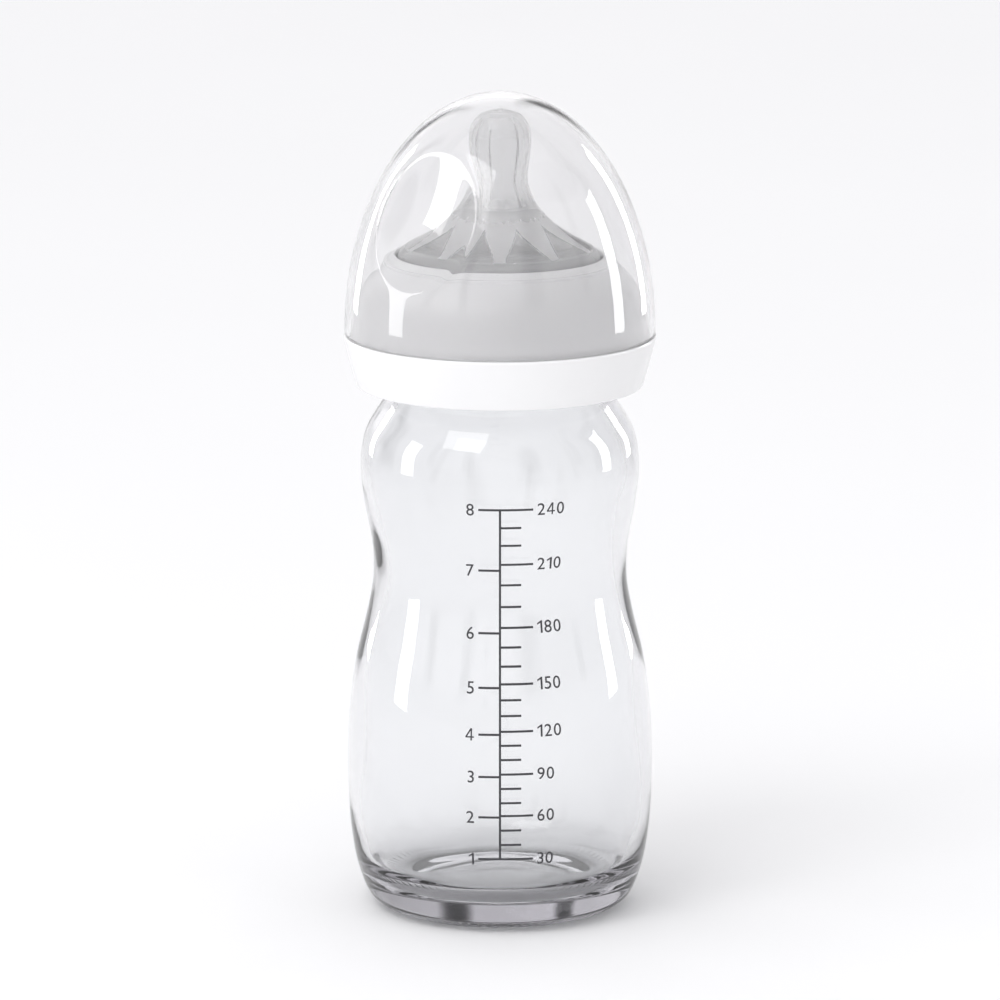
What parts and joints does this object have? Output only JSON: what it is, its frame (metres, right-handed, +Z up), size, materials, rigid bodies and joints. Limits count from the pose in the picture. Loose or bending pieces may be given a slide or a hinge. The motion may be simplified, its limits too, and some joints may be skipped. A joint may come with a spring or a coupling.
{
  "type": "baby bottle",
  "caption": "Upright wide-neck glass feeding bottle with a waisted body and printed graduation, silicone teat, domed screw collar and clear dome cap with a thumb dimple.",
  "frame": {"origin": "centre of the base, on the surface that the bottle stands on", "axes": "+Z up along the bottle's axis towards the cap; the printed scale faces -Y"},
  "size_m": [0.07, 0.0704, 0.1868],
  "materials": {
    "glass": "clear polished borosilicate glass",
    "printed_enamel": "fired-on dark grey enamel print",
    "silicone": "clear liquid silicone rubber, glossy tip and softly frosted skirt",
    "collar_plastic": "white injection-moulded polypropylene, semi-gloss",
    "cap_plastic": "clear, slightly hazy polypropylene"
  },
  "bodies": {
    "bottle": {"bottle_body": "glass", "scale_print": "printed_enamel"},
    "nipple": {"teat": "silicone"},
    "collar": {"screw_collar": "collar_plastic"},
    "cap": {"dome_cap": "cap_plastic"}
  },
  "joints": [
    {"name": "nipple_lift", "type": "slide", "parent": "bottle", "child": "nipple", "axis": [0, 0, 1], "range_m": [0, 0.0193]},
    {"name": "collar_turn", "type": "hinge", "parent": "nipple", "child": "collar", "pos_m": [0, 0, 0.135], "axis": [0, 0, 1], "range_deg": [0, 720]},
    {"name": "cap_lift", "type": "slide", "parent": "collar", "child": "cap", "axis": [0, 0, 1], "range_m": [0, 0.07]}
  ],
  "couplings": [
    {"joint": "nipple_lift", "follows": "collar_turn", "m_per_rad": 0.0015279}
  ]
}
